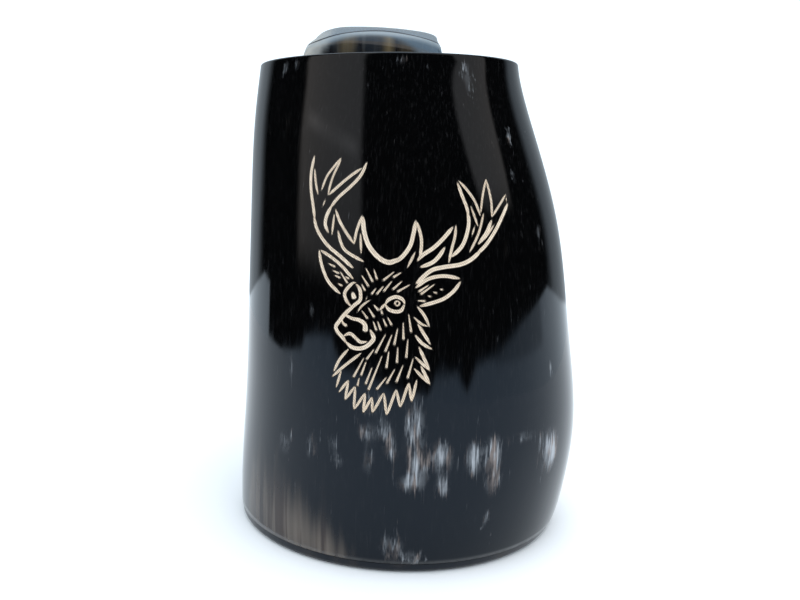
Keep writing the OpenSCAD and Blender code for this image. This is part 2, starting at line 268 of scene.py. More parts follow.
# Hairs, each (x, height, step across, step down) from its upper end
HAIRS = [
    # In the left ear and the right ear
    (-19.8, 88, 2.5, 1), (-18.6, 86.2, 2.4, 0.9), (-18, 84.9, 2.2, 0.8), (-17, 82.7, 1.8, 0.7),
    (-16.3, 86.2, 2.5, 3.5), (-15, 84.8, 1.7, 0.7),
    (10, 84, -4.2, 3.2), (8.4, 83.7, -3.2, 2.2), (11, 82.5, 1.4, 0.2), (9.2, 81.8, 1.6, 0.5),
    (7.7, 80.7, 1.6, 0.3), (5, 79.3, 2.8, 0.1),
    # Cheek
    (-10.1, 76, 2.1, 2.6), (-8.3, 77, 2.1, 3.1), (-6.8, 73.3, 1.2, 3),
    (-5.6, 73.4, 1.2, 3), (-4.1, 74.3, 1.2, 2.7), (-2.9, 74.7, 1.5, 2.7),
    # Forehead
    (-9.1, 87.7, 2.3, 4.2), (-6.8, 87.5, 1.1, 3.3), (-10.2, 85.6, 2.3, 3.4), (-10.2, 83.3, 1.3, 2.3),
    (-1, 87, -3.5, 2.9), (1, 86.9, -2.8, 1.8), (-5.9, 82.4, -1.6, 2.3), (-3.9, 83, -2.2, 2.8),
    (-1.6, 84.5, -2.6, 3.4), (1.2, 84.6, -3, 2.8), (3.4, 83.7, -4, 2.4),
    # Neck
    (-3.1, 70, -3, 6), (-1.4, 70, -2, 5.4), (0.1, 71.8, -1, 5.2), (1.5, 73.5, 0.2, 5.3),
    (2.9, 75.8, 0.9, 5.5), (2.9, 69, -0.4, 5.8), (0.2, 66.7, -0.2, 5), (-2.2, 65.4, -0.7, 5.3),
    (-6.2, 65.6, -2.4, 3.5), (-9, 63, -3.2, 6.3), (-8.4, 62, -1.6, 4.6), (-6.7, 60.6, -2, 5.5),
    (-4, 64, -3.9, 10.4), (-10.3, 57.3, -0.6, 2.9), (-2.6, 58.2, -3.1, 4.2), (-0.4, 60.6, -2.5, 4.8),
    (1.8, 61.8, -2, 5.4), (4.5, 63.8, -1.6, 6.2),
]
# Points of the ragged hem under the neck: low and high in turn
HEM = [
    (-16.3, 52), (-13.3, 56.3), (-14.4, 50.2), (-11.4, 54.8), (-11.8, 47.8), (-8.5, 53.3), (-9.2, 47.2),
    (-6.6, 52.4), (-6.6, 47.5), (-3.4, 53.8), (-2.6, 47.2), (0, 55), (1.1, 49.6), (3.4, 57), (4.2, 51.3),
    (5.6, 58),
]
# The right pupil's ring: its place, its radius, and how far its two arcs overlap in degrees
RIGHT_PUPIL = (-0.2, 78.35, 0.6)
PUPIL_OVERLAP = 50
PUPIL_WIDTH = 0.8
HAIR_WIDTH = 0.92
HEM_WIDTH = 0.95
# How deep the tool went, how steep a stroke's sides are, and how wide its dark edge is
CUT_DEPTH = 0.45
CUT_SLOPE = 1.1
CUT_RIM = 0.12
# Half-width from which a stroke has a pale floor inside its dark edge
FLOOR_FROM = 1.6 * CUT_RIM
# Distance between the points along a stroke, and between a stroke and the grid points kept round it
STROKE_STEP = 0.3
GRID_CLEARANCE = 0.3
# Number of parts that the strokes' points are searched in, which saves memory
SEARCH_PARTS = 40
# Share of its stated width that a stroke has at its middle, then at its thin start and its tips,
# and how far a tip reaches
STROKE_FULLNESS = 0.95
THIN_START = 0.5
TIP_SHARE = 0.4
TIP_REACH = 2.0

# The front window of the horn's mesh that the strokes are cut into, in rows and columns of its grid
COLUMNS = 192
ROWS = 92
WINDOW_X = (-33.0, 37.0)
WINDOW_Z = (42.0, 123.0)
FRONT_RADIUS = 50.0


def round_strokes(x, z, radius, width):
    """A closed round stroke, as two arcs that overlap."""
    arcs = []
    for first in (0, 180):
        angles = np.radians(np.linspace(first - PUPIL_OVERLAP, first + 180 + PUPIL_OVERLAP, 11))
        arcs.append((width, [(x + radius * math.cos(a), z + radius * math.sin(a)) for a in angles]))
    return arcs


def all_strokes():
    """Every stroke as (width, points, whether it starts thin and ends blunt)."""
    hairs = [(HAIR_WIDTH, [(x, z), (x + across, z - down)]) for x, z, across, down in HAIRS]
    hem = [(HEM_WIDTH, [a, b]) for a, b in zip(HEM, HEM[1:])]
    pointed = ANTLER_STROKES + HEAD_STROKES + FUR_STROKES + hem
    blunt = BLUNT_STROKES + hairs + round_strokes(*RIGHT_PUPIL, PUPIL_WIDTH)
    return [(*stroke, False) for stroke in pointed] + [(*stroke, True) for stroke in blunt]


def flatten(x, z):
    """A place on the horn's front as (distance round the horn, height)."""
    return (wall_angle(x, z, -1) + math.pi / 2) * FRONT_RADIUS, z


def smooth_line(points, step):
    """Catmull-Rom curve through points, as points about step apart."""
    points = np.array(points, float)
    padded = np.vstack([2 * points[0] - points[1], points, 2 * points[-1] - points[-2]])
    line = []
    for p0, p1, p2, p3 in zip(padded, padded[1:], padded[2:], padded[3:]):
        count = max(2, round(np.linalg.norm(p2 - p1) / step))
        line += [spline_point(p0, p1, p2, p3, f) for f in np.arange(count) / count]
    line.append(points[-1])
    return np.array(line)


def stroke_outline(line, halves):
    """Closed outline of a stroke, anticlockwise: up its right side and back down its left."""
    along = np.gradient(line, axis=0)
    along /= np.linalg.norm(along, axis=1, keepdims=True)
    left = np.stack([-along[:, 1], along[:, 0]], axis=1) * halves[:, None]
    return np.vstack([line[:1], (line - left)[1:-1], line[-1:], (line + left)[-2:0:-1]])


def stroke_halves(line, width, blunt):
    """Half-widths along a stroke, round at its ends."""
    travelled = np.concatenate([[0], np.cumsum(np.linalg.norm(np.diff(line, axis=0), axis=1))])
    from_end = np.minimum(travelled, travelled[-1] - travelled)
    most = width * STROKE_FULLNESS / 2
    if blunt:
        shape = THIN_START + (1 - THIN_START) * travelled / travelled[-1]
    else:
        shape = np.minimum(1, TIP_SHARE + (1 - TIP_SHARE) * from_end / TIP_REACH)
    return most * shape * np.sqrt(1 - (1 - np.minimum(1, from_end / most)) ** 2)


class Cuts:
    """The strokes, laid flat: outlines for the mesh to follow, and how deep the tool went."""

    def __init__(self, strokes):
        self.points = []
        self.edges = []
        self.outlines = []
        self.cores = []
        samples = []
        for width, places, blunt in strokes:
            line = smooth_line([flatten(x, z) for x, z in places], STROKE_STEP)
            halves = stroke_halves(line, width, blunt)
            samples.append(np.column_stack([line, halves]))
            self.outlines.append(self.add_loop(stroke_outline(line, halves)))
            inside = halves > FLOOR_FROM
            if inside.sum() > 2:
                core_line = line[inside]
                self.cores.append(self.add_loop(stroke_outline(core_line, halves[inside] - CUT_RIM)))
                self.add_line(core_line[1:-1])
        self.samples = np.vstack(samples)

    def add_loop(self, loop):
        start = len(self.points)
        self.points += loop.tolist()
        return list(range(start, start + len(loop)))

    def add_line(self, line):
        start = len(self.points)
        self.points += line.tolist()
        self.edges += [(start + i, start + i + 1) for i in range(len(line) - 1)]

    def reach(self, places):
        """How far inside the nearest stroke each place is. Places outside are negative."""
        best = np.full(len(places), -np.inf)
        for part in np.array_split(self.samples, SEARCH_PARTS):
            gaps = np.linalg.norm(places[:, None, :] - part[None, :, :2], axis=2)
            best = np.maximum(best, (part[None, :, 2] - gaps).max(axis=1))
        return best

    def depth(self, places):
        return np.clip(self.reach(places) * CUT_SLOPE, 0, CUT_DEPTH)


# ---- Materials ----


def add(tree, kind, inputs=None, **settings):
    """A shader node. Inputs that are sockets are linked, and other inputs are set."""
    node = tree.nodes.new("ShaderNode" + kind)
    for name, value in settings.items():
        setattr(node, name, value)
    for key, value in (inputs or {}).items():
        if isinstance(value, bpy.types.NodeSocket):
            tree.links.new(value, node.inputs[key])
        else:
            node.inputs[key].default_value = value
    return node


def maths(tree, operation, a, b=0.0):
    return add(tree, "Math", {0: a, 1: b}, operation=operation).outputs[0]


def remap(tree, value, low, high, to_low=0.0, to_high=1.0):
    """Value from low to high, brought smoothly to the range to_low to to_high."""
    inputs = {"Value": value, "From Min": low, "From Max": high, "To Min": to_low, "To Max": to_high}
    return add(tree, "MapRange", inputs, interpolation_type="SMOOTHSTEP").outputs["Result"]


def mix(tree, share, a, b):
    inputs = {0: share, 6: a, 7: b}
    return add(tree, "Mix", inputs, data_type="RGBA").outputs[2]


def object_place(tree):
    return add(tree, "TexCoord").outputs["Object"]


def streaks(tree, sizes, shift, detail, roughness):
    """Noise drawn out along the axes. Sizes are those of its streaks in millimetres."""
    scale = [1 / size / MM for size in sizes]
    inputs = {"Vector": object_place(tree), "Scale": scale, "Location": shift}
    stretched = add(tree, "Mapping", inputs).outputs[0]
    inputs = {"Vector": stretched, "Scale": 1.0, "Detail": detail, "Roughness": roughness}
    return add(tree, "TexNoise", inputs).outputs["Fac"]


def grain(tree, across, along, detail=3.0, roughness=0.55, seed=0.0):
    """Streaks along Z."""
    shift = (seed, seed * 0.7, seed * 1.3)
    return streaks(tree, (across, across, along), shift, detail, roughness)


def along_strip(tree, across, along, detail, seed):
    """Streaks along the strip: they hardly change in the YZ plane that it is bent in."""
    return streaks(tree, (across, along, along), (seed, seed, seed), detail, 0.5)


def attribute(tree, name):
    """A value that the mesh carries at its points."""
    return add(tree, "Attribute", attribute_name=name).outputs["Fac"]


def bump(tree, height, distance, strength=1.0, normal=None):
    inputs = {"Height": height, "Distance": distance * MM, "Strength": strength}
    if normal is not None:
        inputs["Normal"] = normal
    return add(tree, "Bump", inputs).outputs[0]


def new_material(name, preview):
    material = bpy.data.materials.new(name)
    material.use_nodes = True
    material.node_tree.nodes.clear()
    material.diffuse_color = (*preview, 1)
    return material, material.node_tree


def surface(tree, inputs):
    """Ends a material: its Principled shader and output."""
    shader = add(tree, "BsdfPrincipled", inputs)
    add(tree, "OutputMaterial", {"Surface": shader.outputs[0]})


BLACK_HORN = (0.0010, 0.0010, 0.0011, 1)
DIM_HORN = (0.0085, 0.0080, 0.0080, 1)
PALE_MARBLING = (0.36, 0.37, 0.39, 1)
BROWN_MARBLING = (0.24, 0.18, 0.15, 1)
TAN_HORN = (0.125, 0.100, 0.080, 1)
TAN_STREAK = (0.040, 0.027, 0.021, 1)
HORN_IOR = 1.48
# The polished black mirrors blue-grey straight on, and white at a grazing angle
BLUE_GLOSS = (0.39, 0.48, 0.61, 1)


def horn_material():
    """Polished black horn, with pale marbling in streaks up the horn where the mesh says so."""
    material, tree = new_material("polished_black_horn", BLACK_HORN[:3])
    fine = grain(tree, 0.42, 7, detail=4)
    medium = grain(tree, 1.6, 12, seed=4)
    broad = grain(tree, 3.2, 60, detail=2, seed=9)

    ground = mix(tree, remap(tree, fine, 0.5, 0.76, 0, 0.65), BLACK_HORN, DIM_HORN)
    tan_depth = maths(tree, "MULTIPLY", maths(tree, "SUBTRACT", broad, 0.5), 0.8)
    tan_share = remap(tree, maths(tree, "ADD", attribute(tree, "tan"), tan_depth), 0.1, 1.25)
    tan_stripes = grain(tree, 2.8, 45, detail=2, seed=13)
    tan = mix(tree, remap(tree, tan_stripes, 0.42, 0.62, 0, 0.9), TAN_HORN, TAN_STREAK)
    ground = mix(tree, tan_share, ground, tan)

    fibres = maths(tree, "MULTIPLY", maths(tree, "ADD", fine, medium), 0.5)
    hue = grain(tree, 2.0, 9, detail=1, seed=17)
    marbling = mix(tree, remap(tree, hue, 0.5, 0.62, 0, 0.85), PALE_MARBLING, BROWN_MARBLING)
    place = attribute(tree, "marbling")
    fibres = maths(tree, "ADD", fibres, maths(tree, "MULTIPLY", place, 0.29))
    clouds = remap(tree, grain(tree, 1.5, 4, detail=3, seed=19), 0.38, 0.62)
    haze = maths(tree, "MULTIPLY", remap(tree, place, 0.2, 1.1, 0, 0.26), clouds)
    share = maths(tree, "MAXIMUM", remap(tree, fibres, 0.63, 0.96), haze)
    colour = mix(tree, share, ground, marbling)

    wave = grain(tree, 26, 45, detail=1, roughness=0.4, seed=2)
    surface(tree, {
        "Base Color": colour,
        "Roughness": remap(tree, medium, 0.35, 0.7, 0.05, 0.09),
        "IOR": HORN_IOR,
        "Specular Tint": BLUE_GLOSS,
        "Normal": bump(tree, fine, 0.003, normal=bump(tree, wave, 0.3)),
    })
    return material


def horn_inside_material():
    """The scraped and varnished inside: brown-black, with streaks up it and faint scraper marks."""
    material, tree = new_material("scraped_horn_inside", (0.05, 0.04, 0.03))
    fine = grain(tree, 0.5, 14, detail=4, seed=21)
    broad = grain(tree, 7, 50, detail=2, seed=23)
    marks = grain(tree, 3, 1.2, detail=2, seed=29)
    colour = mix(tree, remap(tree, broad, 0.4, 0.65), (0.012, 0.009, 0.008, 1), (0.075, 0.055, 0.040, 1))
    colour = mix(tree, remap(tree, fine, 0.5, 0.75, 0, 0.7), colour, (0.16, 0.125, 0.095, 1))
    surface(tree, {
        "Base Color": colour,
        "Roughness": remap(tree, marks, 0.3, 0.7, 0.22, 0.38),
        "IOR": HORN_IOR,
        "Normal": bump(tree, marks, 0.06, normal=bump(tree, fine, 0.02)),
    })
    return material


def cut_material():
    """The cream inside of the engraved strokes, with the tool's fine slanting marks."""
    material, tree = new_material("engraved_horn", (0.7, 0.64, 0.55))
    inputs = {"Vector": object_place(tree), "Rotation": (0, math.radians(38), 0)}
    slant = add(tree, "Mapping", inputs).outputs[0]
    hatch = add(
        tree,
        "TexWave",
        {"Vector": slant, "Scale": 620.0, "Distortion": 3.0, "Detail": 2.0, "Detail Scale": 0.5},
        wave_type="BANDS",
        bands_direction="X",
    ).outputs["Fac"]
    mottle = grain(tree, 0.8, 1.6, detail=3, seed=31)
    patches = remap(tree, mottle, 0.3, 0.6, 0.3, 1)
    hatched = maths(tree, "MULTIPLY", remap(tree, hatch, 0.45, 0.95), patches)
    colour = mix(tree, hatched, (0.80, 0.66, 0.51, 1), (0.41, 0.31, 0.23, 1))
    deep = remap(tree, attribute(tree, "cut_depth"), 0.36, 0.45, 0, 0.7)
    colour = mix(tree, maths(tree, "MULTIPLY", deep, mottle), colour, (0.33, 0.25, 0.19, 1))
    surface(tree, {
        "Base Color": colour,
        "Roughness": remap(tree, mottle, 0.3, 0.7, 0.6, 0.8),
        "Normal": bump(tree, hatch, 0.05),
    })
    return material


def cut_edge_material():
    """The dark skin of the horn, cut through at the edge of a stroke."""
    material, tree = new_material("cut_edge_horn", (0.05, 0.04, 0.035))
    chips = grain(tree, 0.35, 0.7, detail=3, seed=37)
    surface(tree, {
        "Base Color": mix(tree, chips, (0.006, 0.005, 0.005, 1), (0.08, 0.065, 0.05, 1)),
        "Roughness": remap(tree, chips, 0.3, 0.7, 0.35, 0.6),
    })
    return material


def strip_colour(tree, fine, clouds):
    """Blue-grey to pearl, with dark that has amber streaks, and fine pale fibres. The dark is a painted
    reflection of the mug in the strip's front, and a dark core past the crest.
    """
    pearl = maths(tree, "MULTIPLY", attribute(tree, "pearl"), remap(tree, clouds, 0.3, 0.6, 0.6, 1))
    light = mix(tree, pearl, (0.052, 0.075, 0.096, 1), (0.42, 0.40, 0.36, 1))
    dark = mix(tree, remap(tree, clouds, 0.4, 0.6), (0.003, 0.003, 0.004, 1), (0.012, 0.014, 0.017, 1))
    dark = mix(tree, attribute(tree, "amber"), dark, (0.10, 0.075, 0.042, 1))
    # The dark share is a painted reflection of the mug in the strip's front, and dark core past the
    # crest
    colour = mix(tree, attribute(tree, "dark_core_and_painted_reflection"), light, dark)
    return mix(tree, remap(tree, fine, 0.52, 0.75, 0, 0.12), colour, (0.20, 0.19, 0.17, 1))


def handle_material():
    """Polished grey translucent horn, with a painted line of shade at its bend and a painted highlight
    before it.
    """
    material, tree = new_material("polished_grey_horn", (0.10, 0.10, 0.10))
    fine = along_strip(tree, 1.8, 40, 3, 41.3)
    clouds = along_strip(tree, 9, 20, 3, 47.9)
    wave = along_strip(tree, 18, 30, 1, 53.1)
    colour = strip_colour(tree, fine, clouds)
    distance = attribute(tree, "fold_distance")
    before_fold = remap(tree, distance, -0.4, 0.2, 1, 0)
    # Painted highlight: a pale band across the strip just before the painted dark line
    lip = maths(tree, "MULTIPLY", remap(tree, distance, -5, -1, 0, 0.38), before_fold)
    colour = mix(tree, lip, colour, (0.34, 0.37, 0.38, 1))
    # Painted shade: a dark line across the strip where it bends over to its crest, with its gloss turned
    # down there too
    fold = remap(tree, maths(tree, "ABSOLUTE", distance), 0.2, 0.75, 1, 0)
    colour = mix(tree, maths(tree, "MULTIPLY", fold, 0.9), colour, (0.008, 0.009, 0.014, 1))
    surface(tree, {
        "Base Color": colour,
        "Roughness": remap(tree, fine, 0.35, 0.7, 0.07, 0.13),
        "IOR": HORN_IOR,
        "Specular IOR Level": remap(tree, fold, 0, 1, 0.5, 0.05),
        "Specular Tint": (0.72, 0.84, 1.0, 1),
        "Subsurface Weight": 0.1,
        "Subsurface Radius": (0.004, 0.0025, 0.0015),
        "Subsurface Scale": 0.6,
        "Normal": bump(tree, fine, 0.003, normal=bump(tree, wave, 0.2)),
    })
    return material


def base_material():
    """Black horn plate, polished at the edge and dulled underneath where it rubs the table."""
    material, tree = new_material("black_horn_plate", (0.01, 0.01, 0.012))
    fine = grain(tree, 0.8, 3, detail=4, seed=59)
    clouds = grain(tree, 12, 12, detail=2, seed=61)
    height = add(tree, "SeparateXYZ", {0: object_place(tree)}).outputs[2]
    worn = remap(tree, height, 0.0002, 0.0008, 1, 0)
    cloudy = remap(tree, clouds, 0.45, 0.7)
    colour = mix(tree, cloudy, (0.004, 0.004, 0.005, 1), (0.020, 0.015, 0.012, 1))
    colour = mix(tree, maths(tree, "MULTIPLY", worn, fine), colour, (0.07, 0.06, 0.055, 1))
    gloss = remap(tree, fine, 0.3, 0.7, 0.16, 0.28)
    surface(tree, {
        "Base Color": colour,
        "Roughness": maths(tree, "ADD", gloss, maths(tree, "MULTIPLY", worn, 0.3)),
        "IOR": HORN_IOR,
        "Specular Tint": BLUE_GLOSS,
        "Normal": bump(tree, fine, 0.015),
    })
    return material


def resin_material():
    """Amber sealing resin, glossy, with small bubbles."""
    material, tree = new_material("sealing_resin", (0.2, 0.11, 0.04))
    inputs = {"Vector": object_place(tree), "Scale": 900.0}
    bubbles = add(tree, "TexVoronoi", inputs).outputs["Distance"]
    clouds = grain(tree, 3, 3, detail=3, seed=67)
    colour = mix(tree, remap(tree, clouds, 0.35, 0.65), (0.11, 0.05, 0.018, 1), (0.27, 0.15, 0.055, 1))
    colour = mix(tree, remap(tree, bubbles, 0.08, 0.2, 0.5, 0), colour, (0.5, 0.36, 0.2, 1))
    surface(tree, {
        "Base Color": colour,
        "Roughness": remap(tree, clouds, 0.3, 0.7, 0.12, 0.25),
        "Subsurface Weight": 0.15,
        "Subsurface Radius": (0.003, 0.0015, 0.0008),
        "Subsurface Scale": 0.5,
        "Normal": bump(tree, bubbles, 0.03, 0.5),
    })
    return material


def brass_material():
    """Hand-hammered brass, brown in patches of tarnish, with fine scratches."""
    material, tree = new_material("hammered_brass", (0.7, 0.5, 0.22))
    inputs = {"Vector": object_place(tree), "Scale": 650.0}
    dents = add(tree, "TexVoronoi", inputs, feature="SMOOTH_F1").outputs["Distance"]
    tarnish = grain(tree, 1.4, 1.4, detail=5, seed=71)
    scratches = grain(tree, 0.12, 1.5, detail=2, seed=73)
    share = remap(tree, tarnish, 0.45, 0.7, 0, 0.75)
    polish = remap(tree, scratches, 0.3, 0.7, 0.16, 0.30)
    surface(tree, {
        "Base Color": mix(tree, share, (0.74, 0.53, 0.24, 1), (0.27, 0.16, 0.07, 1)),
        "Metallic": 1.0,
        "Roughness": maths(tree, "ADD", polish, maths(tree, "MULTIPLY", share, 0.25)),
        "Normal": bump(tree, scratches, 0.01, 0.6, normal=bump(tree, dents, 0.12)),
    })
    return material


# ---- Horn body ----

LIP_ROUND = 0.6
LIP_STEPS = 7
INSIDE_ROWS = 46
# The horn body's material slots: its polished skin, a stroke's dark edge and pale floor, and the
# scraped inside, which starts on the lip
SKIN, CUT_EDGE, CUT_FLOOR, INSIDE = range(4)
INSIDE_FROM = ROWS + 2 * LIP_STEPS - 4
# Soft places of pale marbling on the front, each (x, height, reach across, reach up, strength)
MARBLING = [
    (5.5, 45, 2.8, 9, 1.0),
    (6.5, 33, 2.8, 5, 0.95),
    (4, 28, 4.4, 2.6, 0.75),
    (-2.5, 42, 2, 5, 0.8),
    (-0.5, 37, 1.8, 4, 0.55),
    (13, 36, 3, 4.8, 1.2),
    (13.5, 27, 2.2, 3.2, 0.8),
    (21.7, 35.5, 2.4, 5, 1.0),
    (27.5, 35.5, 3.2, 6, 1.05),
    (28, 27, 2.4, 4, 0.95),
    (26.2, 16, 1.1, 3.4, 0.85),
    (36, 39.5, 6, 2, 0.65),
    (46, 33, 4.8, 6.4, 1.35),
    (-24, 35, 2.4, 4.5, 0.75),
    (-17.4, 38, 1.6, 3, 0.65),
    (-15.7, 33, 3, 2.6, 0.65),
    (-8, 42, 3, 2.6, 0.75),
    (-7.5, 34, 1.8, 5, 0.7),
    (-32.5, 34, 4.4, 4.6, 0.6),
    (-7, 50, 5, 5, 0.45),
    (-0.7, 9, 4, 4, 0.75),
    (5, 5, 5, 2.6, 0.7),
    (-33.8, 142, 1.4, 2.2, 0.85),
    (-30, 142.5, 1.2, 2.2, 0.75),
    (-1, 142.8, 3, 1.8, 0.55),
    (17, 140.5, 2.6, 3.4, 0.5),
    (18.3, 136, 1.6, 4, 0.45),
    (30, 123, 1.2, 4, 0.6),
    (31, 112.6, 1, 3, 0.7),
    (39.7, 97, 0.9, 3.6, 0.85),
    (-31, 57, 0.9, 5, 0.8),
    (-24.4, 74.5, 0.8, 2.2, 0.8),
    (44.7, 57, 0.9, 4, 0.7),
]
# The same on the sides and back, spread round an arc of the horn at about the height of the front's
OTHER_PATCHES = 28
OTHER_ARC = (-8.0, 196.0)
# Brown, see-through places low on the horn
TAN_PLACES = [
    (-44, 10, 7, 18, 0.8),
    (-36, 9, 6, 17, 0.9),
    (-28, 6, 6, 14, 0.9),
    (-20, 4, 5, 10, 0.8),
    (-14, 3, 4, 6, 0.5),
]


def soft_places(points, places):
    """Sum of soft round patches on the horn's wall, each (angle, height, reach across, up, strength)."""
    total = np.zeros(len(points))
    for angle, z, across, up, strength in places:
        away = points - horn_point(angle, np.float64(z))
        flat = (away[:, 0] ** 2 + away[:, 1] ** 2) / across**2
        total += strength * np.exp(-flat - (away[:, 2] / up) ** 2)
    return total


def on_front(places):
    """Places on the horn's front, with their angle round the horn in place of x."""
    return [(wall_angle(x, z, -1), z, *size) for x, z, *size in places]


def other_marbling():
    """Patches on the sides and back, which are guessed: seeded, so each run is the same."""
    chance = random.Random(11)
    places = []
    for angle in np.radians(np.linspace(*OTHER_ARC, OTHER_PATCHES)):
        z = chance.gauss(36, 6)
        across = chance.uniform(1.8, 3.6)
        up = chance.uniform(3, 7)
        shift = chance.uniform(-0.05, 0.05)
        places.append((angle + shift, z, across, up, chance.uniform(0.2, 1.05)))
    return places


def window_columns(angles):
    """First and last grid column of the window on the horn's front."""
    middle = float(np.mean(WINDOW_Z))
    wanted = [wall_angle(x, middle, -1) % (2 * math.pi) for x in WINDOW_X]
    return [int(np.argmin(np.abs(angles - angle))) for angle in wanted]


def cut_window(cuts, flat_grid, row_range, column_range):
    """Triangles of the window: its border matches the grid, and its inside follows the strokes."""
    rows = range(row_range[0], row_range[1] + 1)
    columns = range(column_range[0], column_range[1] + 1)
    border = []
    inner = []
    for row in rows:
        for column in columns:
            if row in row_range or column in column_range:
                border.append((row, column))
            else:
                inner.append((row, column))
    inner_flat = np.array([flat_grid[place] for place in inner])
    clear = cuts.reach(inner_flat) < -GRID_CLEARANCE
    inner = [place for place, keep in zip(inner, clear) if keep]

    points = list(cuts.points)
    loops = cuts.outlines + cuts.cores
    start = len(points)
    points += [tuple(flat_grid[place]) for place in border + inner]
    coordinates = [Vector(point) for point in points]
    verts, _, faces, from_verts, _, from_faces = delaunay_2d_cdt(coordinates, cuts.edges, loops, 0, 1e-4)

    grid_of = {}
    for new, sources in enumerate(from_verts):
        for source in sources:
            if start <= source < start + len(border):
                grid_of[new] = border[source - start]
    slots = []
    for sources in from_faces:
        if not sources:
            slots.append(SKIN)
        elif max(sources) < len(cuts.outlines):
            slots.append(CUT_EDGE)
        else:
            slots.append(CUT_FLOOR)
    return np.array([tuple(v) for v in verts]), faces, slots, grid_of


def horn_profile():
    """Rows of (height, inset): up the horn's outside, over its lip and down its inside."""
    lip_start = RIM_HEIGHT - LIP_ROUND
    outside = [(z, 0.0) for z in np.linspace(HORN_BOTTOM, lip_start, ROWS)]
    corner = arc_rows(lip_start, 0, LIP_ROUND, 0, 90, LIP_STEPS)[1:]
    lip = corner + [(z, MOUTH_WALL - inset) for z, inset in reversed(corner)]
    inside = [(z, wall(z)) for z in np.linspace(lip_start, HORN_BOTTOM, INSIDE_ROWS)]
    return outside + lip + inside


def grid_faces(rings, row_range, column_range):
    """Faces of the horn's grid, apart from the window's, and the material slot of each."""
    faces = []
    slots = []
    for face in ring_faces(rings, COLUMNS, closed=True):
        row, column = divmod(face[0], COLUMNS)
        in_rows = row_range[0] <= row < row_range[1]
        if in_rows and column_range[0] <= column < column_range[1]:
            continue
        faces.append(face)
        slots.append(INSIDE if row >= INSIDE_FROM else SKIN)
    return faces, slots


def window_index(grid_of, count, first_extra):
    """Each window point's index in the whole mesh, and the points that the grid doesn't have."""
    index = []
    extra = []
    for new in range(count):
        if new in grid_of:
            row, column = grid_of[new]
            index.append(row * COLUMNS + column)
        else:
            index.append(first_extra + len(extra))
            extra.append(new)
    return index, extra


def horn_body():
    profile = horn_profile()
    points = horn_rings(profile, COLUMNS)
    heights = np.array([z for z, _ in profile[:ROWS]])
    angles = np.arange(COLUMNS) * 2 * math.pi / COLUMNS
    row_range = [int(np.argmin(np.abs(heights - z))) for z in WINDOW_Z]
    column_range = window_columns(angles)
    faces, slots = grid_faces(len(profile), row_range, column_range)

    from_front = (angles + math.pi / 2 + math.pi) % (2 * math.pi) - math.pi
    flat_grid = {
        (row, column): (from_front[column] * FRONT_RADIUS, heights[row])
        for row in range(ROWS)
        for column in range(COLUMNS)
    }
    cuts = Cuts(all_strokes())
    flat, window_faces, window_slots, grid_of = cut_window(cuts, flat_grid, row_range, column_range)
    depth = cuts.depth(flat)
    angle = flat[:, 0] / FRONT_RADIUS - math.pi / 2
    facing = horn_facing(angle, flat[:, 1])
    places = horn_point(angle, flat[:, 1]) - facing * depth[:, None]

    index, extra = window_index(grid_of, len(flat), len(points))
    all_points = np.vstack([points, places[extra]])
    faces += [tuple(index[v] for v in face) for face in window_faces]
    slots += window_slots
    piece = make_mesh("horn_body_engraved", all_points, faces, horn_material(), "horn_body")
    for material in (cut_edge_material(), cut_material(), horn_inside_material()):
        piece.data.materials.append(material)
    piece.data.polygons.foreach_set("material_index", slots)

    depths = np.concatenate([np.zeros(len(points)), depth[extra]])
    give_attribute(piece.data, "cut_depth", depths)
    marbling = soft_places(all_points, on_front(MARBLING) + other_marbling())
    give_attribute(piece.data, "marbling", marbling)
    give_attribute(piece.data, "tan", soft_places(all_points, on_front(TAN_PLACES)))
    set_horn_normals(piece.data, slots, facing[extra], len(points))
    return piece


def give_attribute(mesh, name, values):
    layer = mesh.attributes.new(name, "FLOAT", "POINT")
    layer.data.foreach_set("value", np.asarray(values, np.float32))


def set_horn_normals(mesh, slots, facing, first_extra):
    """Uncut faces of the window shade as the smooth horn, so the cuts leave their edges crisp."""
    exact = np.zeros((len(mesh.vertices), 3))
    exact[first_extra:] = facing
    normals = np.zeros((len(mesh.loops), 3))
    for polygon, slot in zip(mesh.polygons, slots):
        for loop in polygon.loop_indices:
            if slot == SKIN:
                normals[loop] = exact[mesh.loops[loop].vertex_index]
            elif slot in (CUT_EDGE, CUT_FLOOR):
                normals[loop] = polygon.normal
    mesh.normals_split_custom_set(normals.tolist())


# ---- Base and bead ----

STEP_HEIGHT = 5.0
STEP_CLEARANCE = 0.2
STEP_CHAMFER = 0.8
EDGE_ROUND = 1.6
EDGE_INSET = 0.3
# Bevel of the plate's upper edge, and how far its flat underside's rings reach in
UPPER_BEVEL = 0.25
UNDERSIDE_REACH = 20
BEAD_SIZE = 3.0


def capped_rings(name, profile, count, material, node):
    """A solid through rings of the horn's shape, closed at both ends."""
    points = horn_rings(profile, count)
    faces = ring_faces(len(profile), count, closed=False)
    last = (len(profile) - 1) * count
    faces.append(tuple(range(count - 1, -1, -1)))
    faces.append(tuple(range(last, last + count)))
    return make_mesh(name, points, faces, material, node)


def base_plate():
    step_inset = FOOT_WALL + STEP_CLEARANCE
    step_top = PLATE_THICKNESS + STEP_HEIGHT
    under = [(0.0, inset) for inset in np.linspace(UNDERSIDE_REACH, EDGE_INSET + EDGE_ROUND + 0.01, 5)]
    edge = arc_rows(EDGE_ROUND, EDGE_INSET, EDGE_ROUND, -90, 0, 9)
    side = [(PLATE_THICKNESS - UPPER_BEVEL, EDGE_INSET), (PLATE_THICKNESS, EDGE_INSET + UPPER_BEVEL)]
    step = [
        (PLATE_THICKNESS, step_inset),
        (step_top - STEP_CHAMFER, step_inset),
        (step_top, step_inset + STEP_CHAMFER),
        (step_top, step_inset + STEP_CHAMFER + 1),
    ]
    rows = under + edge + side + step
    piece = capped_rings("base_plate_rounded", rows, COLUMNS, base_material(), "base_plate")
    soften(piece, 30)
    return piece


def soften(piece, degrees):
    """Smooth shading, except across edges sharper than degrees."""
    piece.data.set_sharp_from_angle(angle=math.radians(degrees))


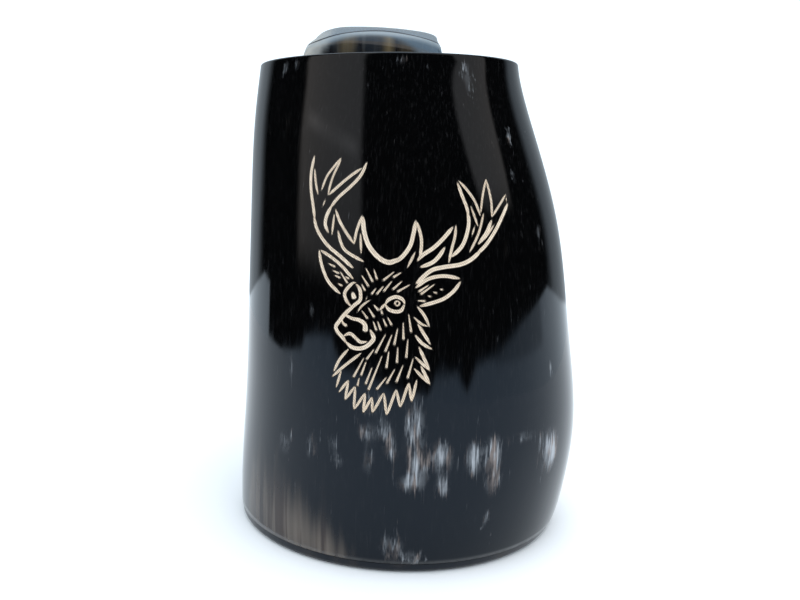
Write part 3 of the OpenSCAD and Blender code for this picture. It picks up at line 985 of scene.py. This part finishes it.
def seal_bead():
    foot = PLATE_THICKNESS + STEP_HEIGHT + GLUE_LINE
    near = wall(foot + BEAD_SIZE) + STEP_CLEARANCE
    section = [(foot, near), (foot + BEAD_SIZE, near)]
    # The bead's hollow face, as an arc about a point up and in from the corner
    for angle in np.radians(np.linspace(0, 90, 10))[1:-1]:
        up = BEAD_SIZE * (1 - math.sin(angle))
        across = BEAD_SIZE * (1 - math.cos(angle))
        section.append((foot + up, near + across))
    section.append((foot, near + BEAD_SIZE))
    points = horn_rings(section, COLUMNS)
    faces = [face[::-1] for face in ring_faces(len(section), COLUMNS, closed=True)]
    piece = make_mesh("seal_bead_fillet", points, faces, resin_material(), "seal_bead")
    soften(piece, 40)
    return piece


# ---- Handle ----

STRIP_THICKNESS = 4.6
STRIP_WIDTH = 50.5
GRIP_WIDTH = 31.0
TAIL_WIDTH = 23.0
CREST_RISE = 20.0
LEFT_SHOULDER = 2.0
CREST_TILT = 0.03
SHOULDER_START = 0.2
HANDLE_REACH = 91.0
STRIP_GAP = 0.3
STRIP_TOP_X = -13.5
STRIP_FOOT_X = -4.0
STRIP_SECTIONS = 190
STRIP_CORNERS = 56
CORNER_ROUND = TAIL_WIDTH * 0.43
END_FLAT = 0.3
CREST_Z = RIM_HEIGHT + CREST_RISE - STRIP_THICKNESS / 2
REACH_Y = HANDLE_REACH - STRIP_THICKNESS / 2


def back_middle(z):
    return back_y(np.where(z > RIM_HEIGHT / 2, STRIP_TOP_X, STRIP_FOOT_X), z)


def pressed_y(z):
    return float(back_middle(np.float64(z))) + STRIP_GAP + STRIP_THICKNESS / 2


# Stations from the end under the rim, over the crest, to the tail. Each is [distance back, height,
# width, camber, pressed, crest]: camber is one over the radius that the strip bends to across its
# width, pressed is 1 where it follows the wall, and crest is 1 where it has the crest's tilt and
# dropped shoulder.
STRIP_STATIONS = np.array([
    [pressed_y(108), 108, STRIP_WIDTH * 0.90, 0, 1, 0],
    [pressed_y(119), 119, STRIP_WIDTH * 0.95, 0, 1, 0],
    [pressed_y(129), 129, STRIP_WIDTH * 0.98, 0, 1, 0],
    [pressed_y(137) + 0.1, 137, STRIP_WIDTH, 0, 1, 0],
    [pressed_y(144) + 0.9, 144, STRIP_WIDTH, 0, 0.9, 0],
    [pressed_y(140) + 0.7, 150, STRIP_WIDTH, 0.002, 0.5, 0],
    [pressed_y(140) + 1.2, 155.5, STRIP_WIDTH * 0.97, 0.003, 0.1, 0.15],
    [pressed_y(140) + 5, CREST_Z - 3.5, STRIP_WIDTH * 0.91, 0.005, 0, 0.7],
    [REACH_Y - 30, CREST_Z, STRIP_WIDTH * 0.87, 0.0065, 0, 1],
    [REACH_Y - 14, CREST_Z - 7, STRIP_WIDTH * 0.77, 0.012, 0, 0.7],
    [REACH_Y - 3, CREST_Z - 23, STRIP_WIDTH * 0.67, 0.020, 0, 0.3],
    [REACH_Y, CREST_Z - 42, GRIP_WIDTH * 1.06, 0.022, 0, 0.1],
    [REACH_Y - 3.5, CREST_Z - 62, GRIP_WIDTH, 0.022, 0, 0],
    [REACH_Y - 12, CREST_Z - 82, GRIP_WIDTH * 0.95, 0.020, 0, 0],
    [REACH_Y - 22, CREST_Z - 97, GRIP_WIDTH * 0.88, 0.014, 0.1, 0],
    [pressed_y(57) + 4.5, 57, TAIL_WIDTH * 1.10, 0.006, 0.5, 0],
    [pressed_y(49) + 0.8, 48.5, TAIL_WIDTH * 1.02, 0, 0.9, 0],
    [pressed_y(40), 40, TAIL_WIDTH, 0, 1, 0],
    [pressed_y(29), 29, TAIL_WIDTH, 0, 1, 0],
    [pressed_y(21) + 0.7, 21, TAIL_WIDTH * 0.96, 0, 0.9, 0],
    [pressed_y(16) + 4, 13.5, TAIL_WIDTH * 0.88, 0.004, 0.6, 0],
])
LAST_STATION = len(STRIP_STATIONS) - 1


def strip_station(s):
    """Station on the spline through them all, at s from 0 to LAST_STATION."""
    i = int(max(0, min(math.floor(s), LAST_STATION - 1)))
    p1 = STRIP_STATIONS[i]
    p2 = STRIP_STATIONS[i + 1]
    p0 = STRIP_STATIONS[i - 1] if i > 0 else 2 * p1 - p2
    p3 = STRIP_STATIONS[i + 2] if i + 2 <= LAST_STATION else 2 * p2 - p1
    return spline_point(p0, p1, p2, p3, s - i)


def quarter_round(distance):
    return math.sqrt(1 - (1 - min(1.0, distance)) ** 2)


def strip_ring(s):
    """One section of the strip: rounded across, bent to its camber, and pressed to the wall."""
    station = strip_station(s)
    along = strip_station(s + 0.02)[:2] - strip_station(s - 0.02)[:2]
    out = np.array([-along[1], along[0]]) / np.linalg.norm(along)
    ends = (strip_station(0)[:2], strip_station(LAST_STATION)[:2])
    edge = min(np.linalg.norm(station[:2] - end) for end in ends) + END_FLAT
    width = station[2] - 2 * CORNER_ROUND * (1 - quarter_round(edge / CORNER_ROUND))
    thickness = STRIP_THICKNESS * quarter_round(edge / STRIP_THICKNESS * 2)

    turn = -np.arange(STRIP_CORNERS) * 2 * math.pi / STRIP_CORNERS
    across = width / 2 * np.cos(turn)
    flat_round = (1 - np.cos(turn) ** 8) ** 0.25
    depth = thickness / 2 * np.sign(np.sin(turn)) * flat_round
    shoulder = np.maximum(0, -across / width - SHOULDER_START) / (0.5 - SHOULDER_START)
    drop = CREST_TILT * across + LEFT_SHOULDER * shoulder**3
    lift = depth - station[3] * across**2 / 2 - station[5] * drop
    x = STRIP_TOP_X + (STRIP_FOOT_X - STRIP_TOP_X) * s / LAST_STATION + across
    z = station[1] + out[1] * lift
    follow = back_y(x, z) - back_middle(z) if station[4] > 0.001 else 0 * z
    return np.stack([x, station[0] + out[0] * lift + follow * station[4], z], axis=1)


# The painted dark line of shade, and the painted highlight before it, run across the strip where it
# bends over just before its crest, in a parabola that is lower at both edges: its top's station, its
# depth in stations, and where its top is across the strip
FOLD_STATION = 7.25
FOLD_ARCH = 0.96
FOLD_MIDDLE = 0.1
# Millimetres between two stations at the fold
STATION_GAP = 7.0
# The painted dark reflection of the mug in the strip's front, an arch behind the rim: its middle,
# half-width and height
REFLECTION_ARCH_MIDDLE = (-12.0, 151.0)
REFLECTION_ARCH_REACH = (18.8, 10.0)
# Distances back between which the strip stops being its front, and the share of core past that
FRONT_REACH = (56, 48)
CORE_BEHIND = 0.75
# Amber streaks along the strip, each (place across the mug, reach, strength)
AMBER_STREAKS = [(-20.2, 3.0, 0.6), (-5.4, 2.0, 0.95), (2, 3.5, 0.25)]
# Where the strip's pale left edge starts and is palest, across the mug and in height
PEARL_PLACES = (-24.0, -32.0)
PEARL_HEIGHTS = (134.0, 148.0)


def core_and_painted_reflection_share(points):
    """Dark share in the strip: a painted reflection as an arch in front, and dark core past the crest.
    """
    across = (points[:, 0] - REFLECTION_ARCH_MIDDLE[0]) / REFLECTION_ARCH_REACH[0]
    up = (points[:, 2] - REFLECTION_ARCH_MIDDLE[1]) / REFLECTION_ARCH_REACH[1]
    in_front = smooth_step(points[:, 1], *FRONT_REACH)
    # Painted dark reflection of the mug: an arch in the strip's front, above the rim
    arch = smooth_step(np.hypot(across, np.maximum(0, up)), 1.04, 0.86)
    return in_front * arch + (1 - in_front) * CORE_BEHIND


def amber_share(points):
    total = 0 * points[:, 0]
    for x, reach, strength in AMBER_STREAKS:
        total += strength * np.exp(-((points[:, 0] - x) / reach) ** 4)
    return total


def handle():
    places = LAST_STATION * (1 - np.cos(np.linspace(0, math.pi, STRIP_SECTIONS))) / 2
    points = np.concatenate([strip_ring(s) for s in places])
    faces = [face[::-1] for face in ring_faces(STRIP_SECTIONS, STRIP_CORNERS, closed=False)]
    last = (STRIP_SECTIONS - 1) * STRIP_CORNERS
    faces.append(tuple(range(STRIP_CORNERS)))
    faces.append(tuple(range(last + STRIP_CORNERS - 1, last - 1, -1)))
    piece = make_mesh("handle_strip", points, faces, handle_material(), "handle")
    across = np.cos(np.arange(STRIP_CORNERS) * 2 * math.pi / STRIP_CORNERS)
    fold = places[:, None] - (FOLD_STATION - FOLD_ARCH * (across[None, :] - FOLD_MIDDLE) ** 2)
    give_attribute(piece.data, "fold_distance", fold.ravel() * STATION_GAP)
    # Dark share: a painted reflection in front, dark core past the crest
    give_attribute(piece.data, "dark_core_and_painted_reflection", core_and_painted_reflection_share(points))
    give_attribute(piece.data, "amber", amber_share(points))
    pearl = smooth_step(points[:, 0], *PEARL_PLACES) * smooth_step(points[:, 2], *PEARL_HEIGHTS)
    give_attribute(piece.data, "pearl", pearl)
    soften(piece, 50)
    return piece


# ---- Rivets ----


def hammered_rivets():
    """The rivets and roves keep their CAD shapes, and take the brass."""
    brass = brass_material()
    for name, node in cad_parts.items():
        if "rivet" in name or "rove" in name:
            node.data.materials.clear()
            node.data.materials.append(brass)


# ---- Floor, light and camera ----

CAMERA_PLACE = (0.54, -257.0, 118.3)
CAMERA_PITCH = 10.51
CAMERA_ROLL = 1.11
CAMERA_LENS = 35.6


def place_camera():
    data = bpy.data.cameras.new("camera")
    data.lens = CAMERA_LENS
    data.sensor_width = 36
    data.clip_start = 0.01
    camera = bpy.data.objects.new("camera", data)
    bpy.context.scene.collection.objects.link(camera)
    tilt = Matrix.Rotation(math.radians(90 - CAMERA_PITCH), 4, "X")
    roll = Matrix.Rotation(math.radians(CAMERA_ROLL), 4, "Z")
    camera.matrix_world = Matrix.Translation(Vector(CAMERA_PLACE) * MM) @ tilt @ roll
    bpy.context.scene.camera = camera


FLOOR_SIZE = 6000
SKY = (0.80, 0.91, 1.0)
SKY_GLOW = 1.42
ROOM_RADIUS = 400.0
ROOM_HEIGHT = 1200.0
# Glow of the pale back of the room, what its upper part adds and the heights it sets in over, and
# glow of the floor's far edge
ROOM_BEHIND = 0.62
CEILING_BEHIND = 0.7
CEILING_HEIGHTS = (250, 600)
FLOOR_GLOW = 1.5
# Windows in the dark room that the polished horn mirrors, each (headings of its two sides in
# degrees from the front, height of its lower edge, lean of its left side, glow)
ROOM_WINDOWS = [
    (-81, -37, 62, 0, 1.4),
    (36, 72, 175, -0.09, 1.45),
]
# Height at which a window's stated left side is true, and that a window's lower edge fades over
WINDOW_LEAN_FROM = 300
WINDOW_FADE = 45
WINDOW_TINT = (1.0, 0.84, 0.70)
# A lamp's glint across the left window: its top, as (heading, height), how it bows down to both
# sides, how thick it is, how bright, and between which headings it is seen
GLINT_TOP = (-57, 233)
GLINT_BOW = 0.03
GLINT_REACH = 7
GLINT_GLOW = 1.1
GLINT_SIDES = (-78, -40)
# Glow of the room's dark front, and the headings where its pale back starts, right and left
DARK_GLOW = 0.005
BACK_FROM = ((103, 117), (116, 130))
# A chest in front of the foot of the room, as (first and last heading), and how much it takes away
CHEST = (47, 92)
CHEST_SHADE = 0.55
CHEST_HEIGHTS = (26, 32)
# The pale floor's far edge and the furniture on it, as (heading, height)
ROOM_FOOT = [
    (-150, 6), (-135, 21), (-122, 36), (-114, 46), (-107, 43), (-106, 2), (-94, 0), (-85, 5), (-75, 12),
    (-72, 22), (-64, 27), (-54, 30), (-51, 22), (-45, 13), (-30, 12), (-13, 5), (4, 7), (9, 24),
    (22, 27), (28, 12), (34, 30), (48, 34), (60, 44), (70, 51), (79, 54), (91, 60), (103, 65),
    (113, 53), (127, 36), (150, 12),
]


def floor():
    material, tree = new_material("pale_floor", (0.9, 0.9, 0.9))
    surface(tree, {"Base Color": (0.96, 0.95, 0.95, 1), "Roughness": 0.7})
    half = FLOOR_SIZE / 2
    corners = [(-half, -half, 0), (half, -half, 0), (half, half, 0), (-half, half, 0)]
    make_mesh("floor", corners, [(0, 1, 2, 3)], material)


def window_glow(heading, height):
    """Brightness of the two windows, with a warm lamp's glint across the left one."""
    glow = 0 * heading
    for left, right, low, lean, strength in ROOM_WINDOWS:
        sides = box_step(heading, left + lean * (height - WINDOW_LEAN_FROM), right, 2)
        lower = smooth_step(height, low, low + WINDOW_FADE)
        rising = lower * (0.72 + 0.28 * smooth_step(height, 90, 260))
        glow += strength * sides * rising
    middle, top = GLINT_TOP
    from_glint = height - top + GLINT_BOW * (heading - middle) ** 2
    glint = GLINT_GLOW * np.exp(-((from_glint / GLINT_REACH) ** 2))
    return glow + glint * box_step(heading, *GLINT_SIDES, 4)


def room_glow(heading, height):
    """Brightness of the rest of the room: dark in front, pale behind, with furniture at its foot."""
    right, left = BACK_FROM
    behind = ROOM_BEHIND + CEILING_BEHIND * smooth_step(height, *CEILING_HEIGHTS)
    glow = DARK_GLOW + behind * (smooth_step(heading, *right) + smooth_step(-heading, *left))
    edge = np.interp(heading, *zip(*ROOM_FOOT))
    soft = 5 - 3 * smooth_step(np.abs(heading), 50, 90)
    foot = smooth_step(height, edge + soft, edge - soft)
    chest = CHEST_SHADE * box_step(heading, *CHEST, 3) * smooth_step(height, *CHEST_HEIGHTS)
    return glow * (1 - foot) + (FLOOR_GLOW - chest) * foot


def room():
    """What stands round the mug. Only reflections see it."""
    headings = np.linspace(-180, 180, 361)
    # Rows close together near the floor, where the furniture's outline needs them
    heights = np.concatenate([np.linspace(0, 200, 81), np.linspace(210, ROOM_HEIGHT, 60)])
    grid_heading, grid_height = np.meshgrid(headings, heights)
    side = np.radians(grid_heading)
    points = np.stack([np.sin(side) * ROOM_RADIUS, -np.cos(side) * ROOM_RADIUS, grid_height], axis=-1)
    columns = len(headings)
    faces = [
        (a, a + 1, a + columns + 1, a + columns)
        for row in range(len(heights) - 1)
        for a in range(row * columns, row * columns + columns - 1)
    ]
    material, tree = new_material("dark_room", (0.02, 0.02, 0.02))
    lights = []
    for tint, glow in ((SKY, "glow"), (WINDOW_TINT, "window")):
        inputs = {"Color": (*tint, 1), "Strength": attribute(tree, glow)}
        lights.append(add(tree, "Emission", inputs).outputs[0])
    both = add(tree, "AddShader", {0: lights[0], 1: lights[1]})
    add(tree, "OutputMaterial", {"Surface": both.outputs[0]})
    piece = make_mesh("room", points.reshape(-1, 3), faces, material)
    give_attribute(piece.data, "glow", room_glow(grid_heading, grid_height).ravel())
    give_attribute(piece.data, "window", window_glow(grid_heading, grid_height).ravel())
    piece.visible_camera = False
    piece.visible_diffuse = False
    piece.visible_shadow = False
    piece.visible_transmission = False


def soft_light(name, place, size, watts):
    """A square light that faces the mug's middle."""
    data = bpy.data.lights.new(name, "AREA")
    data.size = size * MM
    data.energy = watts
    lamp = bpy.data.objects.new(name, data)
    bpy.context.scene.collection.objects.link(lamp)
    lamp.location = Vector(place) * MM
    aim = Vector((0, 0, RIM_HEIGHT / 2)) - Vector(place)
    lamp.rotation_euler = aim.to_track_quat("-Z", "Y").to_euler()
    lamp.visible_camera = False
    lamp.visible_glossy = False


def studio():
    world = bpy.data.worlds.new("studio")
    bpy.context.scene.world = world
    world.use_nodes = True
    backdrop = world.node_tree.nodes["Background"]
    backdrop.inputs["Color"].default_value = (*SKY, 1)
    backdrop.inputs["Strength"].default_value = SKY_GLOW
    floor()
    room()
    soft_light("overhead", (250, -150, 1000), 900, 4.5)
    bpy.context.scene.view_settings.view_transform = "Standard"


horn_body()
base_plate()
seal_bead()
handle()
hammered_rivets()
place_camera()
studio()

bpy.context.view_layer.update()
